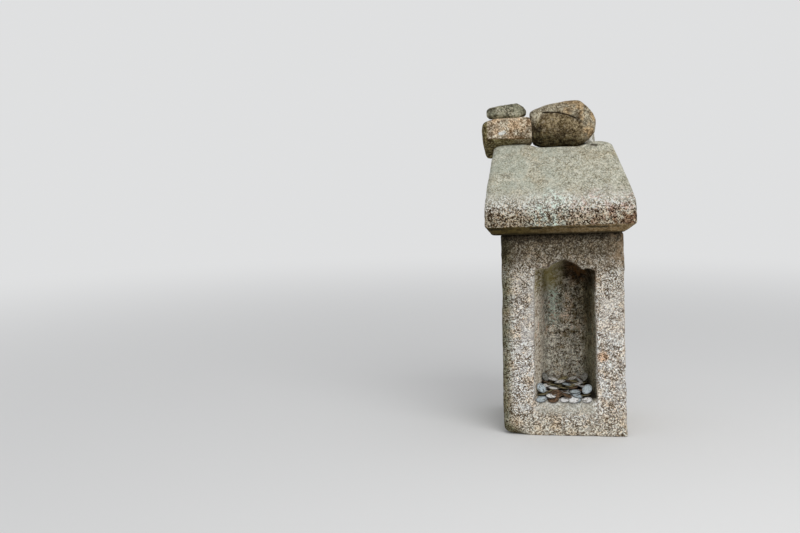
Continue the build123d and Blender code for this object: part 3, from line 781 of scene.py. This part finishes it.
block = broken_stone(
    "block_stone_skin", (-121.5, -7, 616.5), (107, 88, 89),
    [(-1, 0.46), (-0.98, -0.03), (-0.91, -0.55), (-0.72, -0.97), (-0.53, -1), (0.9, -0.36), (1, -0.12),
     (0.97, 0.88), (0.85, 1), (-0.07, 0.98), (-0.57, 0.9), (-0.87, 0.75)],
    [(-1, -0.4), (-0.82, -0.95), (0.88, -1), (1, -0.7), (0.95, 0.7), (0.6, 1), (-0.7, 0.9), (-1, 0.5)],
    [(-0.45, -1), (0.6, -1), (0.9, -0.6), (1, 0.5), (0.7, 1), (-0.8, 1), (-0.96, 0.8), (-1, -0.02),
     (-0.82, -0.14)],
    30, [(42, 1.2), (18, 0.9), (8, 0.5)], 12)
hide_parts("block_stone")


def block_tints(place):
    """A pale, warm upper part lit with painted light, with one white spot, a painted shadow line, and a lower
    part darkened by moss and dampness and by painted shade.
    """
    x, y, z = place.axes()
    # The upper part is lit with painted light; the lower part is darker, partly moss and partly painted shade
    edge = z + place.noise(0.02, 3.0) * 0.006
    lit = edge.step(0.6165, 0.6205) * x.step(-0.166, -0.16)
    lower = (1 - lit) * (1 - x.step(-0.118, -0.088) * 0.5)
    yield lower, 0.92, (0.30, 0.27, 0.13), stain
    yield lower * place.noise(0.007, 4.0, 0.65).step(0.46, 0.6), 0.5, (0.14, 0.12, 0.045), coat
    yield lower * place.noise(0.006, 4.0, 0.65).step(0.50, 0.42), 0.95, (0.3, 0.27, 0.2), stain
    yield lower * place.noise(0.005, 3.0, 0.65).step(0.54, 0.60), 0.6, (0.40, 0.36, 0.20), coat
    # Painted shadow line under the ledge
    yield edge.band(0.6165, 0.6185, 0.6195, 0.6215), 0.7, (0.3, 0.2, 0.1), stain
    yield place.noise(0.018, 3.0).step(0.38, 0.6) * lit, 0.65, (1.0, 0.76, 0.56), stain
    spot = (x + 0.131).squared() + (z - 0.628).squared() * 1.4 + (place.noise(0.007, 4.0, 0.7) - 0.5) * 0.0004
    yield spot.step(0.00006, 0.0) * y.step(-0.03, -0.04), 0.75, (0.80, 0.83, 0.80), coat


block_tones = [(0.0, (0.11, 0.075, 0.042)), (0.3, (0.22, 0.17, 0.11)), (0.55, (0.40, 0.335, 0.24)),
               (1.0, (0.86, 0.79, 0.63))]
block.data.materials.append(stone_finish("block_stone_granite", block_tones, 0.0021, 1.8, block_tints))

flat = broken_stone(
    "flat_stone_skin", (-124, -7, 674), (85, 66, 37),
    [(-1, 0.05), (-0.95, -0.65), (-0.71, -1), (0.6, -0.9), (0.97, -0.4), (1, 0.0), (0.82, 0.5), (0.38, 1.0),
     (-0.29, 0.6), (-0.86, 0.3)],
    [(-1, -0.3), (-0.7, -0.9), (0.2, -1), (0.85, -0.7), (1, 0.2), (0.6, 0.95), (-0.5, 1), (-0.95, 0.4)],
    [(-0.8, -1), (0.8, -1), (1, -0.2), (0.9, 0.6), (0.3, 1), (-0.5, 0.95), (-0.95, 0.4), (-1, -0.4)],
    44, [(35, 1.0), (14, 0.8), (7, 0.5)], 21)
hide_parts("flat_stone")


def flat_tints(place):
    """Grey-green film in patches, and a darker underside."""
    yield place.noise(0.012, 4.0, 0.6).step(0.45, 0.62), 0.35, (0.38, 0.38, 0.27), coat
    yield place.axes()[2].step(0.668, 0.660), 0.6, (0.5, 0.45, 0.3), stain


flat_tones = [(0.0, (0.045, 0.04, 0.027)), (0.4, (0.125, 0.115, 0.075)), (0.65, (0.23, 0.215, 0.145)),
              (1.0, (0.55, 0.52, 0.40))]
flat.data.materials.append(stone_finish("flat_stone_granite", flat_tones, 0.0022, 1.6, flat_tints))

wedge = broken_stone(
    "wedge_stone_skin", (43, -7, 616), (38, 36, 27),
    [(-1, -1), (0.9, -1), (1, -0.2), (0.95, 0.6), (0.4, 0.95), (-0.4, 0.5)],
    [(-1, -0.4), (-0.5, -1), (0.6, -1), (1, -0.2), (0.7, 0.9), (-0.6, 1)],
    [(-0.9, -1), (0.9, -1), (1, 0.2), (0.4, 1), (-0.6, 0.9), (-1, 0.1)],
    18, [(14, 0.7), (6, 0.4)], 33)
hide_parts("wedge_stone")


def wedge_tints(place):
    """Cream patches."""
    yield place.noise(0.01, 3.0).step(0.45, 0.65), 0.4, (0.85, 0.80, 0.68), stain


wedge_tones = [(0.0, (0.12, 0.11, 0.09)), (0.4, (0.36, 0.34, 0.29)), (0.65, (0.55, 0.53, 0.47)),
               (1.0, (0.9, 0.88, 0.82))]
wedge.data.materials.append(stone_finish("wedge_stone_granite", wedge_tones, 0.004, 1.4, wedge_tints))


# Coins
# Offered coins of white metal, nickel, brass and bronze, 20 to 23.5 mm across, struck with a raised rim.
# They lie in courses on the niche's floor and lean on its jambs, dulled by weather, with no design on them.

def struck_disc(name, centre, normal, radius, half_thickness):
    """A profile turned about the coin's axis: raised rim, sunk field, faint dome. Each point keeps its share
    of the radius, by which the finish knows rim and field."""
    right = unit(np.cross((0, 1, 0), normal))
    ahead = np.cross(normal, right)
    profile = np.array([
        (0.0, 0.80), (0.25, 0.79), (0.5, 0.74), (0.62, 0.72), (0.66, 0.80), (0.70, 0.72), (0.84, 0.70),
        (0.875, 0.74), (0.9, 0.97), (0.93, 1.0), (0.965, 1.0), (0.99, 0.9), (1.0, 0.72)])
    share = np.concatenate([profile[:, 0], profile[::-1, 0]])[::-1]
    up = np.concatenate([profile[:, 1], -profile[::-1, 1]])[::-1] * half_thickness
    turn = np.linspace(0, 2 * math.pi, 49)[:-1]
    ring = right * np.cos(turn)[:, None] + ahead * np.sin(turn)[:, None]
    skin = centre + ring[None] * (share * radius)[:, None, None] + normal * up[:, None, None]
    coin = loops_mesh(name, skin)
    values = np.concatenate([share[:1], np.repeat(share[1:-1], len(turn)), share[-1:]])
    coin.data.attributes.new("share", "FLOAT", "POINT").data.foreach_set("value", values)
    return coin


def coin_skin(node):
    """A struck disc in the place of a CAD coin, whose axis is the thinnest direction of its points."""
    points = np.empty(len(node.data.vertices) * 3)
    node.data.vertices.foreach_get("co", points)
    points = points.reshape(-1, 3) / millimetre
    centre = (points.min(axis=0) + points.max(axis=0)) / 2
    axes = np.linalg.svd(points - points.mean(axis=0), full_matrices=False)[2]
    normal = axes[2] if axes[2][2] > 0 else -axes[2]
    spread = points @ normal
    centre = centre + normal * ((spread.max() + spread.min()) / 2 - centre @ normal)
    radius = np.linalg.norm(np.cross(points - centre, normal), axis=1).max()
    return struck_disc(node.name + "_struck", centre, normal, radius, (spread.max() - spread.min()) / 2)


def coin_finish(name, metal, tarnish, roughness, metallic):
    """Worn coin metal: bright where rubbed, tarnished and dirty in blotches, partly a painted reflection of
    dark surroundings, and near black along its rim, partly grime and partly painted shade of the gaps between
    coins.
    """
    material, shader, place = new_finish(name, roughness, 0.5)
    share = place.node("Attribute", {"attribute_name": "share"}, None, 2)
    rim = share.step(0.88, 0.91)
    dirt = place.noise(0.004, 4.0, 0.65).step(0.42, 0.66) * (1 - rim * 0.7)
    # Dark blotches: partly tarnish, partly a painted reflection of dark surroundings
    dark_blot_and_reflection = place.noise(0.008, 4.0, 0.65).step(0.54, 0.60) * (1 - rim * 0.5)
    colour = place.blend(dirt, metal, tarnish).overlay([
        (place.noise(0.0012, 2.0).step(0.35, 0.7), 0.25, (0.55, 0.55, 0.52), stain),
        (dark_blot_and_reflection, 0.8, (0.24, 0.21, 0.17), stain),
        # Near black in the rim's groove and on its edge: partly grime, partly painted shade of the gaps
        # between coins
        (share.band(0.80, 0.85, 0.88, 0.92).most(share.step(0.975, 0.99)), 0.9, (0.03, 0.024, 0.018), coat),
    ])
    feed(material, shader, {
        "Base Color": colour,
        "Roughness": dirt * 0.3 + roughness,
        "Metallic": metallic - dirt * 0.45,
        "Normal": place.noise(0.0009, 3.0).bump(0.25, 0.0002),
    })
    return material


coin_metals = {
    "white_metal": coin_finish("white_metal", (1.0, 1.0, 0.99), (0.72, 0.71, 0.68), 0.3, 0.1),
    # A darker copy of white metal, painted shade for the coins leaning at the back
    "shaded_copy": coin_finish("dulled_white_metal", (0.40, 0.40, 0.37), (0.10, 0.095, 0.08), 0.4, 0.2),
    "nickel": coin_finish("nickel_silver", (0.74, 0.84, 0.90), (0.33, 0.39, 0.41), 0.3, 0.3),
    "brass": coin_finish("brass", (0.62, 0.53, 0.29), (0.15, 0.13, 0.06), 0.36, 0.6),
    "bronze": coin_finish("bronze", (0.36, 0.22, 0.13), (0.085, 0.055, 0.035), 0.4, 0.6),
}
coin_slots = {part["node"]: part["material_slot"] for part in frame["record"]["subparts"]}
for name, node in sorted(frame["nodes"].items()):
    if name.startswith("coin_"):
        struck = coin_skin(node)
        # The coins leaning at the back take the darker copy as painted shade
        shaded_copy = name.startswith("coin_leaning_back")
        struck.data.materials.append(coin_metals["shaded_copy" if shaded_copy else coin_slots[name]])
        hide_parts(name)

# Later offerings lie askew on the courses, and one hangs over the sill. Each has its metal, its place across
# and along the bed and above its floor, all in millimetres, and how far it leans to the right and forward.
strewn = [
    ("white_metal", -30, -106, 4.8, 0.10, 0.20), ("bronze", -17, -98, 6.5, 0.05, 0.60),
    ("bronze", 4, -103, 5.5, 0.35, 0.10), ("nickel", 22, -92, 6.5, -0.15, 0.15),
    ("nickel", 25, -102, 4.6, 0.20, 0.15), ("white_metal", 17, -114, 0.9, -0.15, 0.45),
    ("brass", -33, -84, 6.5, -0.45, -0.05), ("bronze", -6, -84, 7.0, 0.10, -0.15),
    ("white_metal", 2, -88, 6.0, 0.25, -0.10), ("bronze", 33, -78, 7.5, -0.15, -0.15),
    ("white_metal", -24, -70, 8.0, 0.10, 0.02), ("brass", -4, -66, 7.5, 0.20, -0.10),
    ("bronze", 18, -66, 7.8, -0.20, -0.05), ("white_metal", 38, -58, 8.0, 0.25, -0.05),
    ("white_metal", -40, -58, 8.0, -0.10, 0.0), ("brass", -27, -50, 8.2, 0.10, -0.12),
    ("nickel", 6, -48, 8.4, 0.10, 0.0), ("white_metal", 26, -46, 8.6, -0.25, 0.05),
    ("bronze", -38, -36, 8.0, 0.30, -0.10), ("white_metal", -8, -34, 9.0, -0.20, 0.08),
    ("bronze", 12, -30, 8.2, 0.10, -0.12), ("white_metal", 34, -30, 9.4, 0.85, 0.15),
    ("white_metal", -24, -20, 8.8, 0.15, 0.08), ("brass", -2, -16, 8.8, -0.35, 0.10),
    ("white_metal", 18, -14, 9.0, -0.30, 0.10), ("bronze", 36, -12, 8.5, 0.10, -0.05),
    ("white_metal", -40, -14, 9.0, 0.30, 0.10), ("brass", 20, -30, 8.8, 0.20, 0.0),
]
for number, (kind, across, along, rise, right, forward) in enumerate(strewn):
    floor_level = crest_height + (along - body_front - lip_depth) * math.tan(floor_slope)
    centre = np.array((across, along, floor_level + rise))
    axis = unit(np.array((right, -forward, 1.0)))
    radius, half_thickness = 10.0 + number % 3 * 0.6, 0.8
    coin = struck_disc(f"coin_strewn_{number + 1}", centre, axis, radius, half_thickness)
    coin.data.materials.append(coin_metals[kind])


# Stage, light and camera
# A pale floor that fades into the backdrop, a broad soft lamp above the front right, and a camera that
# stands where the photographer stood.

floor_mesh = bpy.data.meshes.new("floor")
floor_mesh.from_pydata([(-20, -20, 0), (20, -20, 0), (20, 20, 0), (-20, 20, 0)], [], [(0, 1, 2, 3)])
floor = bpy.data.objects.new("floor", floor_mesh)
bpy.context.collection.objects.link(floor)
backdrop = (0.74, 0.745, 0.75)
paper, shader, place = new_finish("floor", 0.95, 0.1)
shader.inputs["Base Color"].default_value = (0.78, 0.78, 0.77, 1)
distance = place.node("VectorMath", {"operation": "LENGTH"}, {0: place}, 1)
glow = place.node("Emission", None, {"Color": backdrop})
faded = place.node("MixShader", None, {0: distance.step(0.6, 3.6), 2: glow})
paper.node_tree.links.new(shader.outputs[0], faded.socket.node.inputs[1])
paper.node_tree.links.new(faded.socket, paper.node_tree.nodes["Material Output"].inputs[0])
floor_mesh.materials.append(paper)

lamp_turn, lamp_tilt = math.radians(27), math.radians(42)
lamp_data = bpy.data.lights.new("overhead", "AREA")
lamp_data.shape, lamp_data.size, lamp_data.energy = "DISK", 1.8, 24
lamp = bpy.data.objects.new("overhead", lamp_data)
lamp.location = (0.75, -1.45, 2.0)
lamp.rotation_euler = (Matrix.Rotation(lamp_turn, 3, "Z") @ Matrix.Rotation(lamp_tilt, 3, "X")).to_euler()
bpy.context.collection.objects.link(lamp)

world = bpy.data.worlds.new("studio")
world.use_nodes = True
sky = Shade(world.node_tree)
seen = sky.blend(sky.node("LightPath"), (0.60, 0.605, 0.62), backdrop)
world.node_tree.links.new(seen.socket, world.node_tree.nodes["Background"].inputs["Color"])
bpy.context.scene.world = world

camera_turn, camera_dip, camera_roll = math.radians(7.33), math.radians(6.65), math.radians(-0.8)
camera_data = bpy.data.cameras.new("camera")
camera_data.lens, camera_data.sensor_width = 45, 36
camera = bpy.data.objects.new("camera", camera_data)
bpy.context.collection.objects.link(camera)
camera.matrix_world = (
    Matrix.Translation((-0.0780, -2.1714, 0.5956))
    @ Matrix.Rotation(camera_turn, 4, "Z")
    @ Matrix.Rotation(math.pi / 2 - camera_dip, 4, "X")
    @ Matrix.Rotation(camera_roll, 4, "Z")
)
bpy.context.scene.camera = camera
bpy.context.scene.view_settings.view_transform = "Standard"
